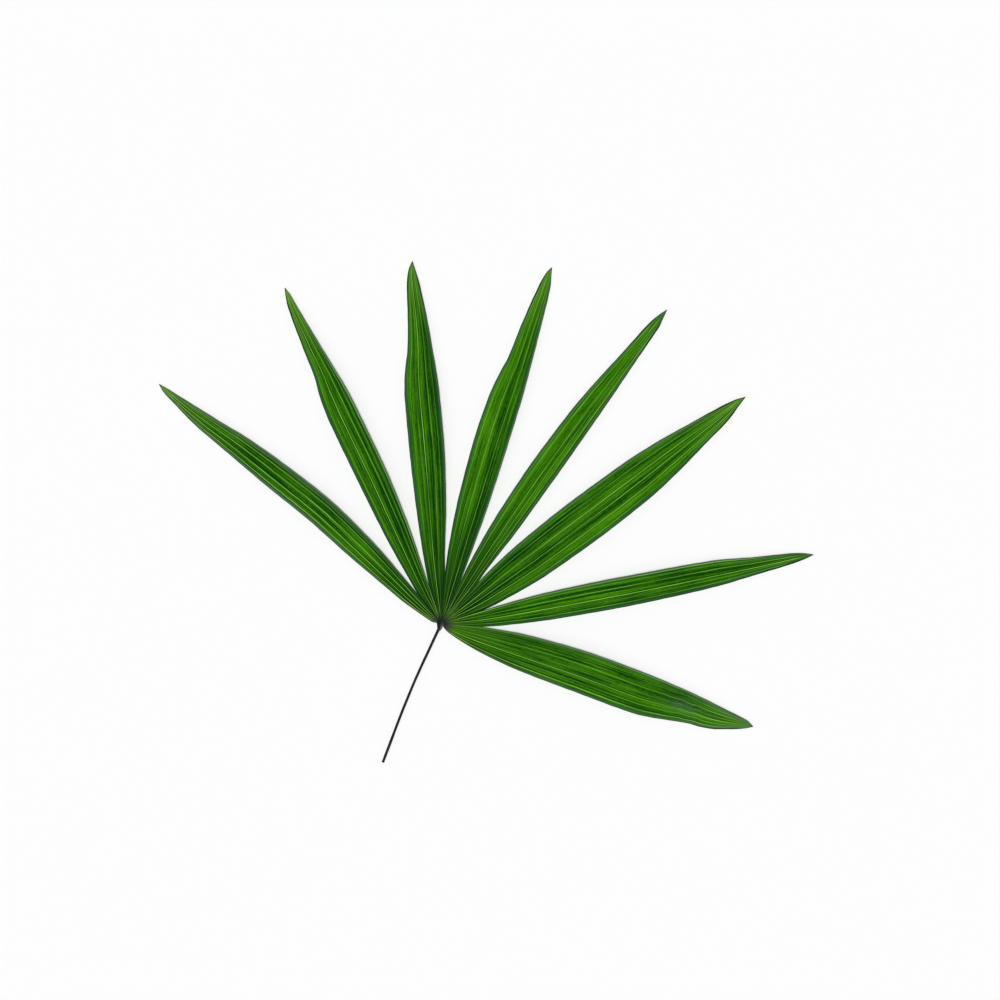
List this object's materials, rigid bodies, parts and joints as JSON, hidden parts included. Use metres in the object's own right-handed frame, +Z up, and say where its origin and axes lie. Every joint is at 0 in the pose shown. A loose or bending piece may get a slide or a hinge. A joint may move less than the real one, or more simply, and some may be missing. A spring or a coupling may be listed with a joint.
{
  "type": "fan palm leaf",
  "caption": "Cut fan palm leaf lying flat: narrow pleated green leaflets that spread from a dark knot at the head of a thin dark stalk.",
  "frame": {"origin": "on the surface that the leaf lies on, under the middle of the knot at the head of the stalk", "axes": "+Z up from the surface, -Y from the knot to the cut end of the stalk, +Y out over the fan, +X to the right of the fan seen from above"},
  "size_m": [0.5077, 0.394, 0.0122],
  "materials": {
    "leaf_green": "satin leaf",
    "stalk_dark": "satin bark"
  },
  "bodies": {
    "root": {"blade": "leaf_green", "petiole": "stalk_dark"}
  },
  "joints": []
}
